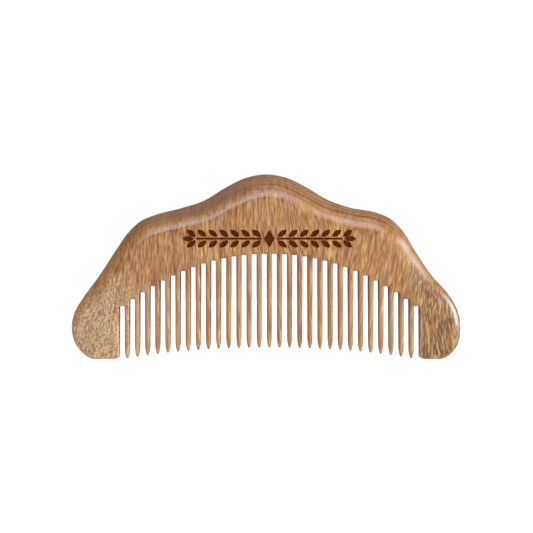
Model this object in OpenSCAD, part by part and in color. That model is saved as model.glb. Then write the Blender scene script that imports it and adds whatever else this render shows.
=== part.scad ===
// Beard comb cut from a single board of wood.
// X runs along the comb, Y through its thickness and Z from the feet up to the crown.
// The origin is on the resting plane of the two feet, midway along the comb and through it.
// The board is divided into the back, the two end guards and the teeth, which meet face to face.

/* [Blank] */
// Overall length of the comb
comb_len = 115; // [100:0.2:130]
// Height from the feet to the crown of the back
comb_h = 54.7; // [50:0.1:60]
// Thickness of the faces if they ran on up to the crown
crown_t = 10.2; // [9:0.1:12]
// Thickness at the feet
foot_t = 3.4; // [3.2:0.1:4]
// How far the rounded edge reaches in over the face at the crown
round_crown = 8.1; // [6:0.1:8.4]
// How far it reaches in at the feet
round_foot = 1.1; // [0.8:0.1:1.4]

/* [Teeth] */
// Number of teeth
tooth_count = 29; // [21:2:31]
// Distance from one tooth to the next
pitch = 3; // [2.8:0.05:3.1]
// Width of a saw slot between two teeth
slot_w = 1.5; // [1.2:0.05:1.7]
// Offset of the row of teeth from the middle of the blank
row_shift = 1.0; // [0:0.1:1.5]
// Height of the middle slots' roots above the feet
root_peak = 31.2; // [29:0.1:32]
// How much lower the outermost slots' roots are
root_drop = 15.6; // [14:0.1:17]
// Height of the middle tooth's tip above the feet
tip_peak = 3.3; // [2.5:0.05:5]
// Height of the outermost tips above the feet
tip_end = 0.2; // [0.2:0.05:1]
// Length of the rounded tip of a tooth
tip_len = 3.5; // [2.5:0.1:4.5]
// How far below the lower of its two slot roots a tooth parts from the back
root_land = 1.2; // [0.8:0.1:2]
// Radius of the corners at a slot's root
slot_r = 0.2; // [0.1:0.05:0.5]
// Radius of a tooth's long edges
tooth_r = 0.65; // [0.3:0.05:0.65]

/* [Engraving] */
// Depth of the engraved sprig
engrave_d = 0.3; // [0.2:0.05:0.5]
// Height of the sprig's stem above the feet
sprig_z = 35.6; // [34.5:0.1:37]
// Leaf pairs on each side of the middle
leaf_pairs = 7; // [3:1:8]
// Length of a leaf
leaf_len = 3.3; // [2.6:0.1:3.6]
// Width of a leaf
leaf_w = 1.6; // [1:0.05:1.7]

/* [Hidden] */
// The outline on each side, from the crown to the foot, as shares of half the length and of
// the height: the comb is shaped by hand, and its right shoulder and foot are a little fuller
LEFT_KNOTS = [
    [0, 1], [0.103, 0.981], [0.213, 0.925], [0.322, 0.856], [0.443, 0.815], [0.562, 0.783],
    [0.647, 0.745], [0.70, 0.695], [0.774, 0.586], [0.858, 0.450], [0.925, 0.354],
    [0.980, 0.264], [1, 0.172], [0.964, 0.055], [0.877, 0]
];
RIGHT_KNOTS = [
    [0, 1], [0.097, 0.984], [0.207, 0.930], [0.317, 0.862], [0.437, 0.818], [0.557, 0.795],
    [0.642, 0.758], [0.697, 0.702], [0.767, 0.586], [0.854, 0.450], [0.935, 0.354],
    [0.985, 0.264], [1, 0.172], [0.974, 0.055], [0.895, 0]
];
// Steps from one knot to the next, along the bottom, and across a quarter of the rounded edge
KNOT_STEPS = 6;
BOTTOM_STEPS = 6;
EDGE_STEPS = 5;
// Height of the point that each face closes onto, as a share of the height
HUB_SHARE = 0.37;
// Share of the half thickness that the edge leaves flat, at the foot and at the crown
LAND_FOOT = 0.55;
LAND_CROWN = 0.05;
// Power of the height that the reach of the rounded edge follows
REACH_POWER = 0.9;
// Power of the rounded edge's section: 2 is an ellipse, and less is closer to a bevel
EDGE_POWER = 1.35;
// Powers of the distance from the row's middle that the roots and the tips follow
ROOT_POWER = 2.08;
TIP_POWER = 2.2;
// Length of the rounded tip seen from the side, its steps, and how far short of its very end
// the last full section lies, in steps
TIP_SIDE_LEN = 2.6;
TIP_STEPS = 6;
LAST_STEP = 0.7;
// Segments in each rounded corner of a tooth's section, and its largest radius as a share of the
// section's half width
CORNER_STEPS = 3;
MAX_CORNER = 0.9;
// Length over which the corners fade in below the back, its steps, and the share they start from
FADE_LEN = 2;
FADE_STEPS = 3;
FADE_START = 0.05;
// Radius of each guard's inner bottom corner, and its steps
GUARD_CORNER_R = 1.3;
GUARD_CORNER_STEPS = 6;
// The middle lozenge's width and height, and the stem's width
LOZENGE = [3.2, 5.2];
STEM_W = 0.6;
// Spacing and lean of the leaves, and how far past the stem's start the first pair grows
LEAF_PITCH = 3.2;
LEAF_LEAN = 38;
LEAF_START = 0.2;
// Gap at each end of the stem, and between the stem and the side leaves
STEM_GAP = 0.7;
LEAF_GAP = 0.25;
// Reach of a cutting block past the comb
BEYOND = 20;

HALF_LEN = comb_len / 2;
SLOT_COUNT = tooth_count + 1;
TOOTH_W = pitch - slot_w;
ROW_HALF = (SLOT_COUNT - 1) / 2 * pitch;
GUARD_TOP = root_peak - root_drop - root_land;
FACE_LEAN = atan((crown_t - foot_t) / 2 / comb_h);

function two_digits(n) = n < 10 ? str("0", n) : str(n);
TEETH = [for (i = [1 : tooth_count]) str("tooth_", two_digits(i))];

// ---- Measures of the blank ----

function mix(a, b, t) = a + (b - a) * t;
// Half thickness, reach of the rounded edge and share left flat, at a height above the feet
function half_t(z) = mix(foot_t, crown_t, z / comb_h) / 2;
function reach(z) = mix(round_foot, round_crown, pow(z / comb_h, REACH_POWER));
function land(z) = mix(LAND_FOOT, LAND_CROWN, z / comb_h);

// Direction of the outline at a knot: it runs level at both ends
function lean_in(k, i) = (k[i] - k[i - 1]) / norm(k[i] - k[i - 1]);
function direction(k, i) =
    i == 0 ? [1, 0] :
    i == len(k) - 1 ? [-1, 0] :
    let (before = norm(k[i] - k[i - 1]), after = norm(k[i + 1] - k[i]))
    let (d = lean_in(k, i) * after + lean_in(k, i + 1) * before)
    d / norm(d);

// A point on the cubic from knot i to the next, with t from 0 to 1
function between(k, i, t) =
    let (chord = norm(k[i + 1] - k[i]))
    k[i] * (2 * pow(t, 3) - 3 * pow(t, 2) + 1)
    + direction(k, i) * chord * (pow(t, 3) - 2 * pow(t, 2) + t)
    + k[i + 1] * (3 * pow(t, 2) - 2 * pow(t, 3))
    + direction(k, i + 1) * chord * (pow(t, 3) - pow(t, 2));

// One side of the outline, drawn towards +X
function side_line(knots) =
    let (k = [for (share = knots) [share[0] * HALF_LEN, share[1] * comb_h]], last = len(k) - 1)
    [for (i = [0 : last - 1], s = [0 : KNOT_STEPS - 1]) between(k, i, s / KNOT_STEPS), k[last]];

RIGHT_HALF = side_line(RIGHT_KNOTS);
LEFT_HALF = side_line(LEFT_KNOTS);
BOTTOM_ENDS = [RIGHT_HALF[len(RIGHT_HALF) - 1][0], -LEFT_HALF[len(LEFT_HALF) - 1][0]];
BOTTOM = [for (s = [1 : BOTTOM_STEPS - 1])
    [mix(BOTTOM_ENDS[0], BOTTOM_ENDS[1], s / BOTTOM_STEPS), 0]];
// The whole outline as [x, z], clockwise from the crown
OUTLINE = concat(RIGHT_HALF, BOTTOM,
    [for (i = [len(LEFT_HALF) - 1 : -1 : 1]) [-LEFT_HALF[i][0], LEFT_HALF[i][1]]]);

// Unit vector into the blank at point i of the outline
function inward(i) =
    let (n = len(OUTLINE), d = OUTLINE[(i + 1) % n] - OUTLINE[(i + n - 1) % n])
    [d[1], -d[0]] / norm(d);

// One ring around the blank: side is -1 in front and 1 behind, and turn goes from 0 at the
// edge to 90 where the rounded edge meets the flat face
function ring(side, turn) = [
    for (i = [0 : len(OUTLINE) - 1])
        let (p = OUTLINE[i])
        let (q = p + inward(i) * reach(p[1]) * (1 - pow(cos(turn), 2 / EDGE_POWER)))
        [q[0], side * half_t(q[1]) * mix(land(p[1]), 1, pow(sin(turn), 2 / EDGE_POWER)), q[1]]
];

// ---- Measures of the teeth ----

function slot_x(i) = row_shift + i * pitch - ROW_HALF;
function slot_root(i) =
    root_peak - root_drop * pow(abs(slot_x(i) - row_shift) / ROW_HALF, ROOT_POWER);
function tooth_x(i) = slot_x(i) + pitch / 2;
function tooth_root(i) = min(slot_root(i), slot_root(i + 1)) - root_land;
function tooth_tip(i) =
    let (away = abs(tooth_x(i) - row_shift) / (ROW_HALF - pitch / 2))
    mix(tip_peak, tip_end, pow(away, TIP_POWER));

// Share of full size at a distance from the tip, for an end rounded over a length
function rounding(s, length) = s >= length ? 1 : sqrt(1 - pow(1 - s / length, 2));

// A level rectangle with rounded corners, centred on x
function section(x, z, hx, hy, r) = [
    for (q = [0 : 3], c = [0 : CORNER_STEPS])
        let (a = 90 * (q + c / CORNER_STEPS))
        let (sx = q == 0 || q == 3 ? 1 : -1, sy = q < 2 ? 1 : -1)
        [x + sx * (hx - r) + r * cos(a), sy * (hy - r) + r * sin(a), z]
];

// The section of tooth i at a height above its tip: its corners are square where it parts
// from the back, to match the stub there
function tooth_section(i, s) =
    let (z = tooth_tip(i) + s, below = tooth_root(i) - z)
    let (hx = TOOTH_W / 2 * rounding(s, tip_len), hy = half_t(z) * rounding(s, TIP_SIDE_LEN))
    let (fade = mix(FADE_START, 1, sin(90 * min(1, below / FADE_LEN))))
    section(tooth_x(i), z, hx, hy, min(tooth_r * fade, MAX_CORNER * hx, MAX_CORNER * hy));

// ---- Solids ----

// A closed solid through rings of equal count, closed at each end onto a point
module ring_solid(rings, first, last) {
    n = len(rings[0]);
    m = len(rings);
    side = [for (j = [0 : m - 2], i = [0 : n - 1]) let (k = (i + 1) % n)
        [j * n + i, j * n + k, (j + 1) * n + k, (j + 1) * n + i]];
    triangles = [for (q = side) each [[q[0], q[1], q[2]], [q[0], q[2], q[3]]]];
    start = [for (i = [0 : n - 1]) [(i + 1) % n, i, m * n]];
    finish = [for (i = [0 : n - 1]) [(m - 1) * n + i, (m - 1) * n + (i + 1) % n, m * n + 1]];
    polyhedron(concat([for (r = rings) each r], [first, last]), concat(triangles, start, finish));
}

// The whole board before it is sawn
module blank() {
    hub = comb_h * HUB_SHARE;
    rings = concat(
        [for (s = [EDGE_STEPS : -1 : 0]) ring(-1, 90 * s / EDGE_STEPS)],
        [for (s = [0 : EDGE_STEPS]) ring(1, 90 * s / EDGE_STEPS)]
    );
    ring_solid(rings, [0, -half_t(hub), hub], [0, half_t(hub), hub]);
}

// A flat shape drawn as X and Z, made as deep as the comb and more
module through() {
    translate([0, BEYOND, 0]) rotate([90, 0, 0]) linear_extrude(2 * BEYOND) children();
}

// All that lies below the back: the slots, the teeth and the guards
module below_back() {
    steps = [for (i = [0 : SLOT_COUNT - 1]) each concat(
        [[slot_x(i) - slot_w / 2, i == 0 ? GUARD_TOP : tooth_root(i - 1)]],
        [for (side = [-1, 1], c = [0 : CORNER_STEPS])
            let (a = 90 * (side < 0 ? c : CORNER_STEPS - c) / CORNER_STEPS)
            [slot_x(i) + side * (slot_w / 2 - slot_r * (1 - cos(a))),
             slot_root(i) - slot_r * (1 - sin(a))]],
        [[slot_x(i) + slot_w / 2, i == tooth_count ? GUARD_TOP : tooth_root(i)]]
    )];
    through() polygon(concat(
        [[-HALF_LEN - BEYOND, -BEYOND], [-HALF_LEN - BEYOND, GUARD_TOP]],
        steps,
        [[HALF_LEN + BEYOND, GUARD_TOP], [HALF_LEN + BEYOND, -BEYOND]]
    ));
}

// Where a guard lies: outside the outermost slot and below its root, with a round inner corner
module guard_field(side) {
    wall = side * ROW_HALF + row_shift + side * slot_w / 2;
    far = side * (HALF_LEN + BEYOND);
    arc = [for (s = [0 : GUARD_CORNER_STEPS]) let (a = 90 * s / GUARD_CORNER_STEPS)
        [wall + side * GUARD_CORNER_R * (1 - cos(a)), GUARD_CORNER_R * (1 - sin(a))]];
    through() polygon(concat([[far, GUARD_TOP], [wall, GUARD_TOP]], arc, [[far, 0]]));
}

module guard(side) {
    color("peru") intersection() {
        blank();
        guard_field(side);
    }
}

// A pointed oval that starts at the origin and runs along +X
module leaf() {
    r = (pow(leaf_len, 2) / leaf_w + leaf_w) / 4;
    intersection_for(side = [-1, 1])
        translate([leaf_len / 2, side * (r - leaf_w / 2)]) circle(r, $fn = 96);
}

// Half of the sprig, growing from the middle along +X
module sprig_half() {
    start = LOZENGE[0] / 2 + STEM_GAP;
    stem_len = (leaf_pairs - 1) * LEAF_PITCH;
    translate([start, -STEM_W / 2]) square([stem_len, STEM_W]);
    for (i = [0 : leaf_pairs - 1], side = [-1, 1])
        translate([start + LEAF_START + i * LEAF_PITCH, side * (STEM_W / 2 + LEAF_GAP)])
            rotate(side * LEAF_LEAN) leaf();
    translate([start + stem_len + STEM_GAP, 0]) leaf();
}

module sprig() {
    for (side = [0, 1]) mirror([side, 0]) sprig_half();
    polygon([for (a = [0 : 3]) [LOZENGE[0] / 2 * cos(90 * a), LOZENGE[1] / 2 * sin(90 * a)]]);
}

// The sprig sunk into the front face, which leans back towards the crown
module engraving() {
    translate([row_shift, -half_t(sprig_z), sprig_z])
        rotate([90 + FACE_LEAN, 0, 0])
            translate([0, 0, -engrave_d]) linear_extrude(BEYOND) sprig();
}

module back() {
    color("peru") difference() {
        blank();
        below_back();
        engraving();
    }
}

module tooth(i) {
    tip = tooth_tip(i);
    levels = concat(
        [for (s = [0 : FADE_STEPS]) tooth_root(i) - tip - FADE_LEN * s / FADE_STEPS],
        [for (s = [0 : TIP_STEPS]) tip_len * (1 - sin(90 * s / (TIP_STEPS + LAST_STEP)))]
    );
    color("peru") ring_solid(
        [for (s = levels) tooth_section(i, s)],
        [tooth_x(i), 0, tooth_root(i)],
        [tooth_x(i), 0, tip]
    );
}

back();
guard(-1);  // guard_left
guard(1);  // guard_right
for (i = [0 : tooth_count - 1])
    tooth(i);
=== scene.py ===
"""A wooden beard comb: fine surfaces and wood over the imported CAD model, in a plain pale studio.

Lengths are in millimetres until a mesh is made, and in metres from there on.
"""

import math

import bmesh
import bpy
import numpy as np
from mathutils import Matrix, Quaternion, Vector

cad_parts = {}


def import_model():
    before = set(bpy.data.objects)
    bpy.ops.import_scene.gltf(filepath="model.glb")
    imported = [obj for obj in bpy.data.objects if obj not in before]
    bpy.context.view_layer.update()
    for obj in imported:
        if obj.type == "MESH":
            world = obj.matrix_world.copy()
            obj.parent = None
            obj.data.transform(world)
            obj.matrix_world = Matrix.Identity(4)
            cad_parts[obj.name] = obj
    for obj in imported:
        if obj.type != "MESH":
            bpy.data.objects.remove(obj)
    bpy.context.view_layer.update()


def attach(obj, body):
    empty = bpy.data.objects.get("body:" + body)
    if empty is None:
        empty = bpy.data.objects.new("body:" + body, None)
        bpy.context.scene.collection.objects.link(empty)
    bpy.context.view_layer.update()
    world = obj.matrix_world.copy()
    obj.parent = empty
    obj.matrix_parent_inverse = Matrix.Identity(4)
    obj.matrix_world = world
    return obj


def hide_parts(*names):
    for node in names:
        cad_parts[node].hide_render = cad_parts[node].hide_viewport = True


MM = 0.001

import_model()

# ---- Measures, as in the CAD source ----

COMB_LEN, COMB_H = 115.0, 54.7
FOOT_T, CROWN_T = 3.4, 10.2
ROUND_FOOT, ROUND_CROWN, REACH_POWER = 1.1, 8.1, 0.9
LAND_FOOT, LAND_CROWN, EDGE_POWER = 0.55, 0.05, 1.35
LEFT_KNOTS = (
    (0, 1), (0.103, 0.981), (0.213, 0.925), (0.322, 0.856), (0.443, 0.815), (0.562, 0.783),
    (0.647, 0.745), (0.70, 0.695), (0.774, 0.586), (0.858, 0.450), (0.925, 0.354),
    (0.980, 0.264), (1, 0.172), (0.964, 0.055), (0.877, 0),
)
RIGHT_KNOTS = (
    (0, 1), (0.097, 0.984), (0.207, 0.930), (0.317, 0.862), (0.437, 0.818), (0.557, 0.795),
    (0.642, 0.758), (0.697, 0.702), (0.767, 0.586), (0.854, 0.450), (0.935, 0.354),
    (0.985, 0.264), (1, 0.172), (0.974, 0.055), (0.895, 0),
)
TOOTH_COUNT, PITCH, SLOT_W, ROW_SHIFT = 29, 3.0, 1.5, 1.0
TOOTH_W = PITCH - SLOT_W
ROW_HALF = TOOTH_COUNT * PITCH / 2
ROOT_PEAK, ROOT_DROP, ROOT_POWER, ROOT_LAND, SLOT_R = 31.2, 15.6, 2.08, 1.2, 0.2
TIP_PEAK, TIP_END, TIP_POWER = 3.3, 0.2, 2.2
TIP_LEN, TIP_SIDE_LEN, TOOTH_R = 3.5, 2.6, 0.65
GUARD_TOP = ROOT_PEAK - ROOT_DROP - ROOT_LAND
GUARD_CORNER_R = 1.3
ENGRAVE_D, SPRIG_Z, CUTTER_H = 0.3, 35.6, 3
LEAF_PAIRS, LEAF_LEN, LEAF_W, LEAF_PITCH, LEAF_LEAN = 7, 3.3, 1.6, 3.2, 38
STEM_W, LOZENGE = 0.6, (3.2, 5.2)
STEM_GAP, LEAF_START, LEAF_GAP, LAST_LEAF_GAP = 0.7, 0.2, 0.25, 0.5

# The grain's lean from the vertical: each swing's length, where it peaks and how far, in degrees.
# The streaks keep their places at the level given
GRAIN_LEANS = ((84, -48, 6), (42, -50, 5))
GRAIN_LEVEL = 20

# Fineness of the surfaces, and how far the back's stubs run on before they are cut level
OUTLINE_STEPS = 12
MAP_STEP = 0.25
GRID = (0.2, 0.25, 0.38)
GRID_MARGIN = np.array((0.9, 0.6, 0.9))
STUB = 0.7
SHARP = 35


def mix(a, b, t):
    return a + (b - a) * t


def half_t(z):
    return mix(FOOT_T, CROWN_T, z / COMB_H) / 2


# ---- The outline, and how deep inside it a point lies ----


def side_line(knots):
    """One side of the outline as points (x, z) from the crown to the foot, drawn towards +X."""
    k = np.array(knots) * (COMB_LEN / 2, COMB_H)
    chord = np.diff(k, axis=0)
    length = np.linalg.norm(chord, axis=1)[:, None]
    unit = chord / length
    slope = unit[:-1] * length[1:] + unit[1:] * length[:-1]
    slope /= np.linalg.norm(slope, axis=1)[:, None]
    slope = np.vstack([(1, 0), slope, (-1, 0)])
    t = np.linspace(0, 1, OUTLINE_STEPS, endpoint=False)[:, None]
    half = [
        k[i] * (2 * t**3 - 3 * t**2 + 1)
        + slope[i] * length[i] * (t**3 - 2 * t**2 + t)
        + k[i + 1] * (3 * t**2 - 2 * t**3)
        + slope[i + 1] * length[i] * (t**3 - t**2)
        for i in range(len(k) - 1)
    ]
    return np.vstack([*half, k[-1:]])


def outline():
    """The blank's outline, clockwise from the crown."""
    return np.vstack([side_line(RIGHT_KNOTS), side_line(LEFT_KNOTS)[:0:-1] * (-1, 1)])


def inside_distance(points, loop):
    """Distance from each point to the loop, positive inside it."""
    nearest = np.full(len(points), 1e9)
    inside = np.zeros(len(points), bool)
    for a, b in zip(loop, np.roll(loop, -1, axis=0)):
        ab = b - a
        ap = points - a
        share = np.clip(ap @ ab / (ab @ ab), 0, 1)
        nearest = np.minimum(nearest, ((ap - share[:, None] * ab) ** 2).sum(1))
        if a[1] != b[1]:
            over = (a[1] > points[:, 1]) != (b[1] > points[:, 1])
            inside ^= over & (ap[:, 0] < ap[:, 1] * ab[0] / ab[1])
    return np.sqrt(nearest) * np.where(inside, 1, -1)


class DepthMap:
    """The distance inside the outline, worked out once on a fine grid and read between its points."""

    def __init__(self, loop):
        self.low = loop.min(0) - 2
        size = np.ceil((loop.max(0) + 2 - self.low) / MAP_STEP).astype(int) + 1
        x, z = (self.low[i] + MAP_STEP * np.arange(size[i]) for i in (0, 1))
        grid = np.stack(np.meshgrid(x, z, indexing="ij"), -1)
        d = inside_distance(grid.reshape(-1, 2), loop).reshape(size)
        for _ in range(2):
            d[1:-1] = (d[:-2] + 2 * d[1:-1] + d[2:]) / 4
            d[:, 1:-1] = (d[:, :-2] + 2 * d[:, 1:-1] + d[:, 2:]) / 4
        self.depth = d

    def __call__(self, x, z):
        u = np.clip((x - self.low[0]) / MAP_STEP, 0, self.depth.shape[0] - 1.001)
        v = np.clip((z - self.low[1]) / MAP_STEP, 0, self.depth.shape[1] - 1.001)
        i, j = u.astype(int), v.astype(int)
        u, v = u - i, v - j
        d = self.depth
        low = mix(d[i, j], d[i + 1, j], u)
        high = mix(d[i, j + 1], d[i + 1, j + 1], u)
        return mix(low, high, v)


# ---- The row of teeth ----


def slot_x(i):
    return ROW_SHIFT + (i - TOOTH_COUNT / 2) * PITCH


def slot_root(i):
    return ROOT_PEAK - ROOT_DROP * (abs(slot_x(i) - ROW_SHIFT) / ROW_HALF) ** ROOT_POWER


def tooth_x(i):
    return slot_x(i) + PITCH / 2


def tooth_root(i):
    return np.minimum(slot_root(i), slot_root(i + 1)) - ROOT_LAND


def tooth_tip(i):
    away = abs(tooth_x(i) - ROW_SHIFT) / (ROW_HALF - PITCH / 2)
    return mix(TIP_PEAK, TIP_END, away**TIP_POWER)


def slot_distance(x, z):
    """Distance from a point in the wood to the nearest slot."""
    place = (x - slot_x(0)) / PITCH
    nearest = np.full(np.shape(x), 1e9)
    for i in (np.floor(place), np.floor(place) + 1):
        i = np.clip(i, 0, TOOTH_COUNT)
        across = np.abs(x - slot_x(i)) - (SLOT_W / 2 - SLOT_R)
        up = z - (slot_root(i) - SLOT_R)
        out = np.hypot(np.maximum(across, 0), np.maximum(up, 0))
        nearest = np.minimum(nearest, out + np.minimum(np.maximum(across, up), 0) - SLOT_R)
    return nearest


def corner_distance(x, z):
    """Distance inside the rounded inner bottom corner of each guard."""
    away = np.abs(x - ROW_SHIFT) - ROW_HALF - SLOT_W / 2
    a, b = GUARD_CORNER_R - away, GUARD_CORNER_R - z
    near = (a > 0) & (b > 0)
    return np.where(near, GUARD_CORNER_R - np.hypot(a, b), 1e9)


# ---- The board as one field, positive in the wood ----


def blank_distance(x, y, z, depth):
    reach = mix(ROUND_FOOT, ROUND_CROWN, np.maximum(z / COMB_H, 0) ** REACH_POWER)
    land = mix(LAND_FOOT, LAND_CROWN, z / COMB_H)
    span = (1 - land) * half_t(z)
    u = np.maximum(1 - depth(x, z) / reach, 1e-4)
    v = np.maximum((np.abs(y) - land * half_t(z)) / span, 1e-4)
    p = EDGE_POWER
    m = (u**p + v**p) ** (1 / p)
    slope = m ** (1 - p) * np.hypot(u ** (p - 1) / reach, v ** (p - 1) / span)
    return (1 - m) / slope


def round_both(a, b, r):
    """The distance inside two surfaces whose shared edge is rounded."""
    return np.where((a < r) & (b < r), r - np.hypot(r - a, r - b), np.minimum(a, b))


def wood(x, y, z, depth):
    cut = np.minimum(slot_distance(x, z), corner_distance(x, z))
    return round_both(blank_distance(x, y, z, depth), cut, TOOTH_R)


def back_field(x, y, z, depth):
    """The board with each tooth left as a short stub."""
    i = np.clip(np.floor((x - slot_x(0)) / PITCH), 0, TOOTH_COUNT - 1)
    row = np.abs(x - ROW_SHIFT) < ROW_HALF + SLOT_W / 2 - 0.01
    stub = np.where(row, z - tooth_root(i) + STUB, 1e9)
    return np.minimum(wood(x, y, z, depth), stub)


def surface_net(field, low, high, step):
    """Quads around where the field changes sign, one point to a cell, drawn onto the surface."""
    axes = [np.arange(low[i], high[i] + step[i], step[i]) for i in range(3)]
    f = field(*np.meshgrid(*axes, indexing="ij"))
    inside = f > 0
    cells = tuple(n - 1 for n in f.shape)
    total, where = np.zeros(cells, np.int16), np.zeros(cells + (3,), np.float32)
    corner = [slice(0, -1), slice(1, None)]
    for axis in range(3):
        others = [i for i in range(3) if i != axis]
        for p in (0, 1):
            for q in (0, 1):
                at = [None] * 3
                at[others[0]], at[others[1]] = corner[p], corner[q]
                at[axis] = corner[0]
                a = f[tuple(at)]
                at[axis] = corner[1]
                b = f[tuple(at)]
                cross = (a > 0) != (b > 0)
                total += cross
                share = np.where(cross, a / np.where(cross, a - b, 1), 0)
                where[..., axis] += share
                where[..., others[0]] += cross * p
                where[..., others[1]] += cross * q
    active = total > 0
    number = np.full(cells, -1)
    number[active] = np.arange(active.sum())
    origin = np.array([a[0] for a in axes])
    points = (np.argwhere(active) + where[active] / total[active][:, None]) * step + origin
    quads = []
    for axis in range(3):
        j, k = (axis + 1) % 3, (axis + 2) % 3
        change = np.diff(inside.astype(np.int8), axis=axis)
        trim = [slice(None)] * 3
        trim[j], trim[k] = slice(1, -1), slice(1, -1)
        spot = np.argwhere(change[tuple(trim)] != 0)
        spot[:, j] += 1
        spot[:, k] += 1
        sign = change[tuple(spot.T)]
        ring = []
        for dj, dk in ((1, 1), (0, 1), (0, 0), (1, 0)):
            c = spot.copy()
            c[:, j] -= dj
            c[:, k] -= dk
            ring.append(number[tuple(c.T)])
        ring = np.stack(ring, 1)
        quads.append(np.where(sign[:, None] < 0, ring, ring[:, ::-1]))
    return points, np.vstack(quads)


def settle(points, field, rounds=3, probe=0.02, longest=0.2, flattest=0.2):
    """Moves points onto the field's zero surface."""
    for _ in range(rounds):
        f = field(*points.T)
        ahead = [field(*(points + d).T) - field(*(points - d).T) for d in np.eye(3) * probe]
        slope = np.stack(ahead, 1) / (2 * probe)
        move = f / np.maximum((slope**2).sum(1), flattest)
        points = points - np.clip(move, -longest, longest)[:, None] * slope
    return points


# ---- Meshes ----


def new_object(name, bm, materials):
    """An object of a bmesh in millimetres: smooth, with its sharp edges kept."""
    bmesh.ops.scale(bm, vec=(MM,) * 3, verts=bm.verts)
    mesh = bpy.data.meshes.new(name)
    bm.to_mesh(mesh)
    bm.free()
    mesh.shade_smooth()
    mesh.set_sharp_from_angle(angle=math.radians(SHARP))
    for m in materials:
        mesh.materials.append(m)
    obj = bpy.data.objects.new(name, mesh)
    bpy.context.scene.collection.objects.link(obj)
    return obj


def bmesh_of(points, faces):
    mesh = bpy.data.meshes.new("raw")
    used, index = np.unique(faces, return_inverse=True)
    mesh.from_pydata(points[used].tolist(), [], index.reshape(faces.shape).tolist())
    bm = bmesh.new()
    bm.from_mesh(mesh)
    bpy.data.meshes.remove(mesh)
    return bm


def cut_level(bm, faces, level, keep_above):
    """Cuts some faces at a height, drops what is on the other side and closes the cut."""
    edges = {e for f in faces for e in f.edges}
    verts = {v for f in faces for v in f.verts}
    done = bmesh.ops.bisect_plane(
        bm, geom=[*verts, *edges, *faces], dist=1e-5, plane_co=(0, 0, level), plane_no=(0, 0, 1),
        clear_outer=not keep_above, clear_inner=keep_above,
    )
    rim = [g for g in done["geom_cut"] if isinstance(g, bmesh.types.BMEdge) and g.is_boundary]
    bmesh.ops.holes_fill(bm, edges=rim, sides=0)


def back_and_guards(wood_material, burnt_material):
    depth = DepthMap(outline())

    def field(x, y, z):
        return back_field(x, y, z, depth)

    low = np.array((-COMB_LEN / 2, -CROWN_T / 2, 0)) - GRID_MARGIN
    high = np.array((COMB_LEN / 2, CROWN_T / 2, COMB_H)) + GRID_MARGIN
    points, quads = surface_net(field, low, high, np.array(GRID))
    points = settle(points, field)
    centre = points[quads].mean(1)
    away = centre[:, 0] - ROW_SHIFT
    beside = np.abs(away) > ROW_HALF
    made = {}
    for name, side in (("guard_left", -1), ("guard_right", 1)):
        mine = beside & (away * side > 0) & (centre[:, 2] < GUARD_TOP + 1)
        bm = bmesh_of(points, quads[mine])
        cut_level(bm, bm.faces[:], GUARD_TOP, keep_above=False)
        made[name] = new_object(name + "_wood", bm, [wood_material])
    bm = bmesh_of(points, quads[~beside | (centre[:, 2] > GUARD_TOP - 1)])
    bins = {}
    for f in bm.faces:
        c = f.calc_center_median()
        i = math.floor((c.x - slot_x(0)) / PITCH)
        level = tooth_root(i) if 0 <= i < TOOTH_COUNT else GUARD_TOP
        if c.z < level + 1:
            bins.setdefault(max(-1, min(i, TOOTH_COUNT)), []).append(f)
    for i, faces in bins.items():
        cut_level(bm, faces, tooth_root(i) if 0 <= i < TOOTH_COUNT else GUARD_TOP, keep_above=True)
    made["back"] = engraved(new_object("back_wood", bm, [wood_material, burnt_material]))
    return made


def tooth(i, wood_material):
    """A tooth as rings of rounded rectangles, closed at the tip and where it leaves the back."""
    tip, root = tooth_tip(i), tooth_root(i)
    bend = np.linspace(0, 1, 13)[:-1]
    straight = np.linspace(root, tip + TIP_LEN, 16)
    heights = np.concatenate([straight, tip + TIP_LEN * (1 - np.sin(bend[1:] * math.pi / 2))])
    bm = bmesh.new()
    rings = []
    for z in heights:
        s = z - tip
        hx = TOOTH_W / 2 * tip_share(s, TIP_LEN)
        hy = half_t(z) * tip_share(s, TIP_SIDE_LEN)
        r = min(TOOTH_R, 0.95 * hx, 0.95 * hy)
        rings.append([bm.verts.new((tooth_x(i) + x, y, z)) for x, y in section(hx, hy, r)])
    point = bm.verts.new((tooth_x(i), 0, tip))
    n = len(rings[0])
    for a, b in zip(rings, rings[1:]):
        for k in range(n):
            bm.faces.new((a[k - 1], b[k - 1], b[k], a[k]))
    for k in range(n):
        bm.faces.new((rings[-1][k - 1], point, rings[-1][k]))
    bm.faces.new(rings[0])
    bmesh.ops.recalc_face_normals(bm, faces=bm.faces)
    return new_object(f"tooth_{i + 1:02d}_wood", bm, [wood_material])


def tip_share(s, length):
    return 1 if s >= length else math.sqrt(max(1 - (1 - s / length) ** 2, 0))


def section(hx, hy, r, corner=7, side=5):
    """Points around a rectangle with rounded corners."""
    out = []
    for sx, sy, start in ((1, 1, 0), (-1, 1, 90), (-1, -1, 180), (1, -1, 270)):
        for a in np.radians(start + np.linspace(0, 90, corner)):
            out.append((sx * (hx - r) + r * math.cos(a), sy * (hy - r) + r * math.sin(a)))
    full = []
    for k, p in enumerate(out):
        q = out[(k + 1) % len(out)]
        full.append(p)
        if k % (2 * corner) == 2 * corner - 1:
            full += [(p[0], mix(p[1], q[1], t / side)) for t in range(1, side)]
    return full


# ---- The engraved sprig ----


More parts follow.
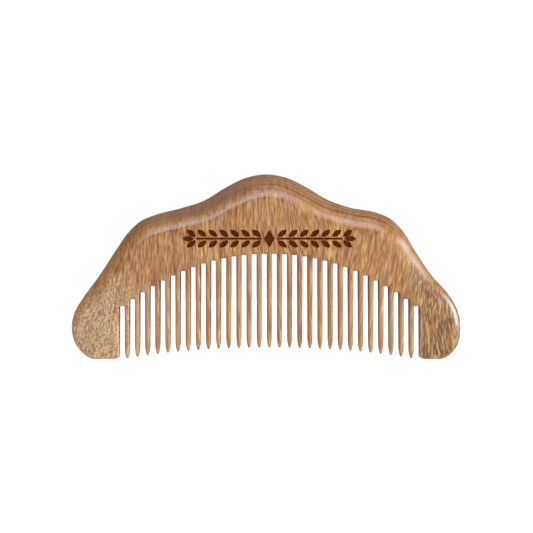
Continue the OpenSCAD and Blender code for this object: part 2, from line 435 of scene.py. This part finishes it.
def leaf(at, turn):
    """A leaf between two arcs, from the point given."""
    r = (LEAF_LEN**2 / LEAF_W + LEAF_W) / 4
    half = math.asin(LEAF_LEN / 2 / r)
    arc = np.linspace(-half, half, 9)
    up = [(LEAF_LEN / 2 + r * math.sin(a), r * math.cos(a) - r + LEAF_W / 2) for a in arc]
    down = [(x, -y) for x, y in up[-2:0:-1]]
    c, s = math.cos(math.radians(turn)), math.sin(math.radians(turn))
    return [(at[0] + c * x - s * y, at[1] + s * x + c * y) for x, y in up + down]


def sprig_shapes():
    """The lozenge, and on each side of it a stem with pairs of leaves and one at its end."""
    start = LOZENGE[0] / 2 + STEM_GAP
    stop = start + (LEAF_PAIRS - 1) * LEAF_PITCH
    half = [
        leaf((start + LEAF_START + i * LEAF_PITCH, side * (STEM_W / 2 + LEAF_GAP)), side * LEAF_LEAN)
        for i in range(LEAF_PAIRS)
        for side in (-1, 1)
    ]
    edge = STEM_W / 2
    half.append([(start, -edge), (stop, -edge), (stop, edge), (start, edge)])
    half.append(leaf((stop + LEAF_START + LAST_LEAF_GAP, 0), 0))
    w, h = LOZENGE[0] / 2, LOZENGE[1] / 2
    mirrored = [[(-x, y) for x, y in shape] for shape in half]
    return half + mirrored + [[(w, 0), (0, h), (-w, 0), (0, -h)]]


def engraved(obj):
    """Sinks the sprig into the front face of the back, with burnt walls and floor."""
    lean = math.atan((CROWN_T - FOOT_T) / 2 / COMB_H)
    place = (
        Matrix.Translation((ROW_SHIFT, -half_t(SPRIG_Z), SPRIG_Z))
        @ Matrix.Rotation(math.pi / 2 + lean, 4, "X")
        @ Matrix.Translation((0, 0, -ENGRAVE_D))
    )
    bm = bmesh.new()
    for shape in sprig_shapes():
        face = bm.faces.new([bm.verts.new((x, y, 0)) for x, y in shape])
        top = bmesh.ops.extrude_face_region(bm, geom=[face])["geom"]
        rim = [v for v in top if isinstance(v, bmesh.types.BMVert)]
        bmesh.ops.translate(bm, vec=(0, 0, CUTTER_H), verts=rim)
    for f in bm.faces:
        f.material_index = 1
    bmesh.ops.recalc_face_normals(bm, faces=bm.faces)
    bmesh.ops.transform(bm, matrix=place, verts=bm.verts)
    cutter = new_object("sprig_cutter", bm, list(obj.data.materials))
    cut = obj.modifiers.new("sprig", "BOOLEAN")
    cut.operation = "DIFFERENCE"
    cut.object = cutter
    cut.solver = "MANIFOLD"
    cut.material_mode = "INDEX"
    seen = obj.evaluated_get(bpy.context.evaluated_depsgraph_get())
    mesh = bpy.data.meshes.new_from_object(seen)
    obj.modifiers.clear()
    old, obj.data = obj.data, mesh
    bpy.data.meshes.remove(old)
    bpy.data.objects.remove(cutter)
    obj.data.set_sharp_from_angle(angle=math.radians(SHARP))
    return obj


# ---- Materials ----


def nodes_of(name):
    m = bpy.data.materials.new(name)
    m.use_nodes = True
    nodes, links = m.node_tree.nodes, m.node_tree.links
    nodes.clear()
    shader = nodes.new("ShaderNodeBsdfPrincipled")
    out = nodes.new("ShaderNodeOutputMaterial")
    links.new(shader.outputs[0], out.inputs[0])
    return m, nodes, links, shader


class Graph:
    """Short names for the few kinds of node used here."""

    def __init__(self, nodes, links):
        self.nodes, self.links = nodes, links

    def put(self, socket, value):
        if isinstance(value, (int, float, tuple)):
            socket.default_value = value
        else:
            self.links.new(value, socket)

    def math(self, kind, a, b=0.0):
        n = self.nodes.new("ShaderNodeMath")
        n.operation = kind
        self.put(n.inputs[0], a)
        self.put(n.inputs[1], b)
        return n.outputs[0]

    def add(self, first, *more):
        for term in more:
            first = self.math("ADD", first, term)
        return first

    def minus(self, a, b):
        return self.math("SUBTRACT", a, b)

    def times(self, first, *more):
        for factor in more:
            first = self.math("MULTIPLY", first, factor)
        return first

    def vector(self, x, y, z):
        n = self.nodes.new("ShaderNodeCombineXYZ")
        for socket, value in zip(n.inputs, (x, y, z)):
            self.put(socket, value)
        return n.outputs[0]

    def noise(self, vector, detail=2.0, rough=0.5):
        n = self.nodes.new("ShaderNodeTexNoise")
        self.put(n.inputs["Vector"], vector)
        n.inputs["Scale"].default_value = 1
        n.inputs["Detail"].default_value = detail
        n.inputs["Roughness"].default_value = rough
        return n.outputs["Fac"]

    def place(self):
        """The point's place in the comb's frame, in millimetres."""
        split = self.nodes.new("ShaderNodeSeparateXYZ")
        self.links.new(self.nodes.new("ShaderNodeTexCoord").outputs["Object"], split.inputs[0])
        return [self.times(s, 1 / MM) for s in split.outputs]

    def scaled(self, place, scale):
        return self.vector(*(self.times(v, k) for v, k in zip(place, scale)))

    def stops(self, fac, stops):
        n = self.nodes.new("ShaderNodeValToRGB")
        self.put(n.inputs[0], fac)
        ramp = n.color_ramp
        for element, (at, colour) in zip(ramp.elements, (stops[0], stops[-1])):
            element.position, element.color = at, colour
        for at, colour in stops[1:-1]:
            ramp.elements.new(at).color = colour
        return n.outputs[0]

    def ramp(self, fac, low, high, to_low=0.0, to_high=1.0, smooth=True):
        n = self.nodes.new("ShaderNodeMapRange")
        n.interpolation_type = "SMOOTHSTEP" if smooth else "LINEAR"
        names = ("Value", "From Min", "From Max", "To Min", "To Max")
        for name, value in zip(names, (fac, low, high, to_low, to_high)):
            self.put(n.inputs[name], value)
        return n.outputs[0]

    def blend_value(self, fac, a, b):
        n = self.nodes.new("ShaderNodeMix")
        self.put(n.inputs["Factor"], fac)
        self.put(n.inputs[2], a)
        self.put(n.inputs[3], b)
        return n.outputs[0]

    def blend(self, fac, a, b, kind="MIX"):
        n = self.nodes.new("ShaderNodeMix")
        n.data_type, n.blend_type = "RGBA", kind
        self.put(n.inputs["Factor"], fac)
        self.put(n.inputs[6], a)
        self.put(n.inputs[7], b)
        return n.outputs[2]


def srgb(r, g, b):
    def linear(v):
        v /= 255
        return v / 12.92 if v <= 0.04045 else ((v + 0.055) / 1.055) ** 2.4

    return (linear(r), linear(g), linear(b), 1.0)


# Noise scales to the millimetre: across the grain, through the board and along the grain
SWAY, BROAD = (0.045, 0.05, 0.05), (0.15, 0.2, 0.03)
STREAKS, FIBRES, CURL = (0.5, 0.3, 0.04), (2.4, 1.2, 0.28), (2.6, 2.0, 1.1)
LINES, SQUIGGLES, PATCHES = (1.2, 0.5, 0.06), (1.4, 0.9, 0.6), (0.8, 0.5, 0.16)
STROKES, THIN_STROKES, FLECKS = (2.4, 1.1, 0.26), (2.8, 1.5, 0.42), (2.7, 1.4, 1.3)
HUES, REDS, WANDER, BURN = (0.8, 0.4, 0.05), (0.3, 0.3, 0.03), (0.06, 0.3, 0.06), (3, 2, 0.4)

# Each pattern is read at its own distance along the same noise
HUE_SEED, PORE_SEED, LINE_SEED, THIN_SEED, RED_SEED, PATCH_SEED = 300, 400, 500, 600, 700, 900

# The middle of a noise, and the grain's sway, the growth lines' density and their wander
HALF_WAY = 0.5
SWAY_REACH, LAYER_TURNS, LAYER_WANDER = 2.2, 8.5, 9.0

# Where the look changes: the rounded edge by depth and height, and the ends by their distance out
EDGE_DEPTH, EDGE_HEIGHT = (0.15, 1.8), (12, 30)
LEFT_END, RIGHT_END, END_SWAY = (32, 46), (40, 48), 16
CURLY_HEIGHT, CURLY_SHARE = (30, 16), (0.2, 0.7)
WALL_DEPTH, TOOTH_START, ROOT_MARGIN, TOOTH_STRAIGHT = (0.5, 0.9), (0, 5), 2, 0.65

# The wood's colours from its darkest tone to its lightest, in two hues
GOLD = (
    (0.32, srgb(112, 54, 0)), (0.36, srgb(128, 74, 6)), (0.5, srgb(152, 103, 38)),
    (0.64, srgb(172, 131, 72)), (0.745, srgb(188, 150, 96)),
)
ROSE = (
    (0.32, srgb(106, 54, 4)), (0.36, srgb(122, 72, 20)), (0.5, srgb(143, 98, 52)),
    (0.64, srgb(162, 122, 86)), (0.745, srgb(174, 140, 114)),
)
RED_TINT, CURLY_GREY, HEARTWOOD = srgb(250, 226, 214), srgb(199, 172, 138), srgb(100, 90, 50)
PORE, HEART_PORE = srgb(84, 46, 12), srgb(70, 38, 2)
# The first of these is painted shade that darkens the whole rounded edge
EDGE_PAINTED_SHADE, EDGE_GOLD, EDGE_LINE = srgb(128, 98, 78), srgb(166, 112, 50), srgb(110, 60, 24)
# Painted shade for the left of the crown, painted sheen for the rim, and a painted highlight for the
# edge at both ends
EDGE_LEFT_PAINTED_SHADE, EDGE_RIM_PAINTED_SHEEN, EDGE_PAINTED_HIGHLIGHT = srgb(108, 76, 64), srgb(180, 156, 142), srgb(206, 164, 112)
# Painted shade for the left side of each tooth and for the slot walls, and the paler wood of the teeth
# near the ends
TOOTH_PAINTED_SHADE, TOOTH_PALE, SLOT_PAINTED_SHADE = srgb(138, 72, 10), srgb(208, 172, 122), srgb(44, 26, 30)
BURNT_LIGHT, BURNT_DARK = srgb(82, 34, 0), srgb(62, 24, 0)


def across_grain(g, x, y, z):
    """The distance across the grain, which leans one way and then the other along the comb."""
    height = g.minus(z, GRAIN_LEVEL)
    sway = g.noise(g.scaled((x, y, z), SWAY), 1.0)
    across = g.add(x, g.times(sway, SWAY_REACH))
    for length, peak, lean in GRAIN_LEANS:
        turn = g.times(g.minus(x, peak), 2 * math.pi / length)
        slope = g.times(g.math("COSINE", turn), math.tan(math.radians(lean)))
        across = g.minus(across, g.times(slope, height))
    return across


def below_face(g, y, z):
    """Nought on the two faces, and growing over the rounded edge and in the slots."""
    half = g.add(g.times(z, (CROWN_T - FOOT_T) / 2 / COMB_H), FOOT_T / 2)
    return g.minus(half, g.math("ABSOLUTE", y))


def below_roots(g, aside, z):
    """How far a place is below the curve of the slots' roots."""
    drop = g.times(g.math("POWER", g.math("DIVIDE", aside, ROW_HALF), ROOT_POWER), ROOT_DROP)
    return g.minus(g.minus(ROOT_PEAK, drop), z)


class Site:
    """Where a point of the wood lies in the grain, and how much it belongs to each region."""

    def __init__(self, g):
        self.g = g
        self.x, self.y, self.z = g.place()
        self.u = across_grain(g, self.x, self.y, self.z)
        self.below = below_face(g, self.y, self.z)

        # The row of teeth, in which the grain is drawn out straighter
        self.aside = g.math("ABSOLUTE", g.minus(self.x, ROW_SHIFT))
        self.sunk = below_roots(g, self.aside, self.z)
        self.row = g.math("LESS_THAN", self.aside, ROW_HALF + SLOT_W)
        self.toothed = g.times(self.row, g.ramp(self.sunk, *TOOTH_START))
        self.along = g.add(self.z, g.times(g.math("MAXIMUM", self.sunk, 0.0), TOOTH_STRAIGHT))

        # The rounded edge cuts across the layers of growth
        self.edge = g.times(g.ramp(self.below, *EDGE_DEPTH), g.ramp(self.z, *EDGE_HEIGHT))

        # The left end is curly, so there short flecks take the place of long fibres
        spread = g.times(g.minus(self.noise(BROAD, 2.0), HALF_WAY), END_SWAY)
        self.left = g.ramp(g.minus(spread, self.x), *LEFT_END)
        self.right = g.ramp(g.add(spread, self.x), *RIGHT_END)
        self.curly = g.times(self.left, g.ramp(self.z, *CURLY_HEIGHT, *CURLY_SHARE))

    def noise(self, scale, detail, rough=0.5, seed=0, drawn_out=False):
        """Noise that follows the grain."""
        place = (self.g.add(self.u, seed), self.y, self.along if drawn_out else self.z)
        return self.g.noise(self.g.scaled(place, scale), detail, rough)


def dark_lines(g, site):
    """Thin lines along the grain, broken here and there."""
    straight = site.noise(LINES, 1.0, seed=LINE_SEED)
    squiggle = site.noise(SQUIGGLES, 1.0, seed=LINE_SEED)
    off_middle = g.minus(g.blend_value(site.curly, straight, squiggle), HALF_WAY)
    line = g.ramp(g.math("ABSOLUTE", off_middle), 0.0, 0.07, 1.0, 0.0)
    return g.times(line, g.ramp(site.noise(PATCHES, 1.0, seed=PATCH_SEED), 0.42, 0.6))


def grain_tone(g, site):
    """How light the wood is: streaks, fibres that are quieter on the rounded edge, and dark lines."""
    streaks = g.minus(site.noise(STREAKS, 1.0, 0.7), HALF_WAY)
    fibres = site.noise(FIBRES, 1.0, 0.8, drawn_out=True)
    fine = g.minus(g.blend_value(site.curly, fibres, site.noise(CURL, 1.0, 0.8)), HALF_WAY)
    gain = g.add(g.times(site.left, 0.7), g.times(site.right, 0.1), 0.9)
    gain = g.times(gain, g.ramp(site.edge, 0.0, 1.0, 1.0, 0.45))
    tone = g.add(g.times(streaks, 0.27), HALF_WAY, g.times(fine, gain))
    return g.minus(tone, g.times(dark_lines(g, site), 0.12))


def pores(g, site):
    """Short dark strokes: finer in the right end, and curled in the left one."""
    strokes = site.noise(STROKES, 1.0, 0.4, PORE_SEED, drawn_out=True)
    strokes = g.blend_value(site.right, strokes, site.noise(THIN_STROKES, 0.0, seed=THIN_SEED))
    flecks = site.noise(FLECKS, 0.0, seed=PORE_SEED)
    return g.ramp(g.blend_value(site.curly, strokes, flecks), 0.49, 0.41)


def pore_strength(g, site):
    """Strongest in the right end, and weaker on the rounded edge."""
    parts = [g.times(site.left, 0.32), g.times(site.right, 0.54), g.times(site.toothed, 0.2), 0.3]
    return g.times(g.add(*parts), g.ramp(site.edge, 0.0, 1.0, 1.0, 0.5))


def body_colour(g, site, tone):
    """The wood of the faces: golden, rosy and reddish, greyer at both ends, with its pores."""
    hue = g.ramp(site.noise(HUES, 2.0, 1.0, HUE_SEED), 0.38, 0.62, smooth=False)
    colour = g.blend(hue, g.stops(tone, GOLD), g.stops(tone, ROSE))
    red = g.ramp(site.noise(REDS, 3.0, 0.8, RED_SEED), 0.45, 0.65)
    colour = g.blend(red, colour, RED_TINT, "MULTIPLY")
    grey = g.times(site.left, g.ramp(site.z, 30.0, 12.0, 0.0, 0.3))
    colour = g.blend(grey, colour, CURLY_GREY)
    colour = g.blend(g.times(site.right, 0.16), colour, HEARTWOOD)
    dark = g.times(pores(g, site), pore_strength(g, site))
    return g.blend(dark, colour, g.blend(site.right, PORE, HEART_PORE))


def growth_lines(g, site):
    """The layers of growth where the rounded edge cuts them, clearest on the right."""
    wander = g.noise(g.scaled((site.x, site.below, site.z), WANDER), 2.0, 0.6)
    turn = g.add(g.times(site.below, LAYER_TURNS), g.times(wander, LAYER_WANDER))
    line = g.times(g.ramp(g.math("SINE", turn), 0.1, 1.0), g.ramp(site.below, 0.3, 0.7))
    return g.times(line, g.ramp(site.x, -8.0, 8.0, 0.5, 0.9))


def golden_band(g, site):
    """The inner part of the rounded edge, golden beside the crown and dull over the ends."""
    band = g.times(g.ramp(site.below, 0.1, 0.5), g.ramp(site.below, 1.0, 1.8, 1.0, 0.0))
    beside = g.add(g.ramp(site.x, 0.0, 10.0), g.ramp(site.x, -24.0, -34.0))
    beside = g.times(beside, g.ramp(g.math("ABSOLUTE", site.x), 34.0, 42.0, 1.0, 0.2))
    return g.times(band, g.add(g.times(beside, 0.3), 0.1))


def edge_colour(g, site, colour):
    """The rounded edge: painted shade over all of it, golden inside and paler and greyer towards the
    rim as painted sheen, more painted shade on the left of the crown, and a painted highlight over the
    ends.
    """
    # Painted shade: the edge darker on the left of the crown, as if lit from the right
    shade = g.times(g.ramp(site.below, 0.5, 1.8), g.ramp(site.x, -44.0, -26.0, 0.35, 1.0))
    shade = g.times(shade, g.ramp(site.x, -14.0, 4.0, 1.0, 0.0))
    # Painted highlight: the edge lighter at both ends
    ends = g.add(g.ramp(site.x, 34.0, 44.0), g.ramp(site.x, -38.0, -46.0))
    tints = (
        # painted shade over the whole rounded edge
        (g.times(site.edge, 0.25), EDGE_PAINTED_SHADE),
        (golden_band(g, site), EDGE_GOLD),
        (g.times(site.edge, growth_lines(g, site)), EDGE_LINE),
        # painted shade on the left of the crown
        (g.times(site.edge, shade, 0.45), EDGE_LEFT_PAINTED_SHADE),
        # painted sheen: the rim paler and greyer
        (g.times(site.edge, g.ramp(site.below, 1.6, 3.0), 0.1), EDGE_RIM_PAINTED_SHEEN),
        # painted highlight on the edge at both ends
        (g.times(site.edge, ends, 0.15), EDGE_PAINTED_HIGHLIGHT),
    )
    for share, tint in tints:
        colour = g.blend(share, colour, tint)
    return colour


# The slot walls: matt in the roughness, and carrying painted shade in the colour
def slot_walls(g, site):
    inside = g.times(site.row, g.math("GREATER_THAN", site.sunk, -ROOT_MARGIN))
    return g.times(inside, g.ramp(site.below, *WALL_DEPTH))


def tooth_colour(g, site, colour, wall):
    """Teeth with painted shade on their left side and paler near the two ends, with painted shade on
    the slot walls that is deepest at the roots.
    """
    phase = g.math("FRACT", g.add(g.math("DIVIDE", g.minus(site.x, ROW_SHIFT), PITCH), HALF_WAY))
    # Painted shade: each tooth darker and more saturated on its left side, as if lit from the right
    left_painted_shade = g.times(site.toothed, g.ramp(phase, 0.55, 0.3))
    colour = g.blend(g.times(left_painted_shade, 0.6), colour, TOOTH_PAINTED_SHADE)
    pale = g.times(site.toothed, g.ramp(site.aside, 12.0, 30.0, 0.05, 0.14))
    colour = g.blend(pale, colour, TOOTH_PALE)
    # Painted shade on the slot walls, darkest at the roots and fading towards the tips
    return g.blend(g.times(wall, g.ramp(site.sunk, 2.0, 22.0, 1.0, 0.2)), colour, SLOT_PAINTED_SHADE)


def wood_material():
    m, nodes, links, shader = nodes_of("sandalwood")
    g = Graph(nodes, links)
    site = Site(g)
    tone, wall = grain_tone(g, site), slot_walls(g, site)
    colour = edge_colour(g, site, body_colour(g, site, tone))
    links.new(tooth_colour(g, site, colour, wall), shader.inputs["Base Color"])

    # Polished where it was sanded, and matt where it was sawn
    polish = g.ramp(tone, 0.35, 0.65, 0.24, 0.34)
    links.new(g.blend_value(wall, polish, 1.0), shader.inputs["Roughness"])
    shader.inputs["Specular IOR Level"].default_value = 0.56
    bump = nodes.new("ShaderNodeBump")
    bump.inputs["Strength"].default_value = 0.15
    bump.inputs["Distance"].default_value = 0.02 * MM
    links.new(g.minus(1.0, tone), bump.inputs["Height"])
    links.new(bump.outputs[0], shader.inputs["Normal"])
    return m


def burnt_material():
    m, nodes, links, shader = nodes_of("burnt_wood")
    g = Graph(nodes, links)
    fibres = g.noise(g.scaled(g.place(), BURN), 3.0, 0.6)
    links.new(g.blend(g.ramp(fibres, 0.35, 0.65), BURNT_LIGHT, BURNT_DARK), shader.inputs["Base Color"])
    shader.inputs["Roughness"].default_value = 0.9
    shader.inputs["Specular IOR Level"].default_value = 0.03
    return m


# ---- Studio ----


def floor(half_side=6000, glow=0.92):
    """A pale matt floor that glows a little, so that it stays even."""
    m, _, _, shader = nodes_of("floor")
    shader.inputs["Base Color"].default_value = (0.6, 0.6, 0.6, 1)
    shader.inputs["Roughness"].default_value = 1
    shader.inputs["Specular IOR Level"].default_value = 0
    shader.inputs["Emission Color"].default_value = (1, 1, 1, 1)
    shader.inputs["Emission Strength"].default_value = glow
    bm = bmesh.new()
    bmesh.ops.create_grid(bm, x_segments=1, y_segments=1, size=half_side)
    obj = new_object("floor", bm, [m])


def world(light=0.15):
    """White where it is seen, and dimmer as a light."""
    w = bpy.data.worlds.new("studio")
    bpy.context.scene.world = w
    w.use_nodes = True
    nodes, links = w.node_tree.nodes, w.node_tree.links
    nodes.clear()
    seen, lights = nodes.new("ShaderNodeBackground"), nodes.new("ShaderNodeBackground")
    seen.inputs["Color"].default_value = (1, 1, 1, 1)
    lights.inputs["Color"].default_value = (1, 1, 1, 1)
    lights.inputs["Strength"].default_value = light
    path, both = nodes.new("ShaderNodeLightPath"), nodes.new("ShaderNodeMixShader")
    out = nodes.new("ShaderNodeOutputWorld")
    links.new(path.outputs["Is Camera Ray"], both.inputs[0])
    links.new(lights.outputs[0], both.inputs[1])
    links.new(seen.outputs[0], both.inputs[2])
    links.new(both.outputs[0], out.inputs[0])


def area_light(name, place, target, size, power, colour=(1, 1, 1), roll=0.0):
    data = bpy.data.lights.new(name, "AREA")
    data.shape, data.size, data.size_y = "RECTANGLE", size[0], size[1]
    data.energy, data.color = power, colour
    obj = bpy.data.objects.new(name, data)
    bpy.context.scene.collection.objects.link(obj)
    obj.location = place
    aim = (Vector(target) - Vector(place)).to_track_quat("-Z", "Y")
    obj.rotation_euler = (aim @ Quaternion((0, 0, 1), math.radians(roll))).to_euler()


def camera(view_width=0.1579, distance=0.57, centre=(0.00016, 0, 0.0274)):
    data = bpy.data.cameras.new("camera")
    data.sensor_width = 36
    data.lens = data.sensor_width * distance / view_width
    data.clip_start, data.clip_end = 0.01, 50
    obj = bpy.data.objects.new("camera", data)
    bpy.context.scene.collection.objects.link(obj)
    obj.location = (centre[0], centre[1] - distance, centre[2])
    obj.rotation_euler = (math.pi / 2, 0, 0)
    bpy.context.scene.camera = obj


# ---- The scene ----

timber, burnt = wood_material(), burnt_material()
for node, piece in back_and_guards(timber, burnt).items():
    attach(piece, "root")
    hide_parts(node)
for number in range(TOOTH_COUNT):
    piece = tooth(number, timber)
    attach(piece, "root")
    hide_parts(f"tooth_{number + 1:02d}")

floor()
world()
middle = (0, 0, 0.03)
area_light("key", (0.45, -0.9, 0.15), middle, (0.5, 0.4), 1.8)
area_light("top", (-0.05, -0.8, 0.58), middle, (1.0, 0.3), 6.9, (0.66, 0.79, 1.0), 24)
area_light("right", (0.87, -0.5, 0.2), middle, (0.28, 0.5), 12.0, (0.85, 0.92, 1.0))
area_light("left", (-0.6, -0.8, 0.1), middle, (0.4, 0.6), 0.2, (0.8, 0.9, 1.0))
area_light("back", (-0.3, 0.9, 0.4), middle, (0.8, 0.5), 2.5)
camera()
bpy.context.scene.view_settings.view_transform = "Standard"
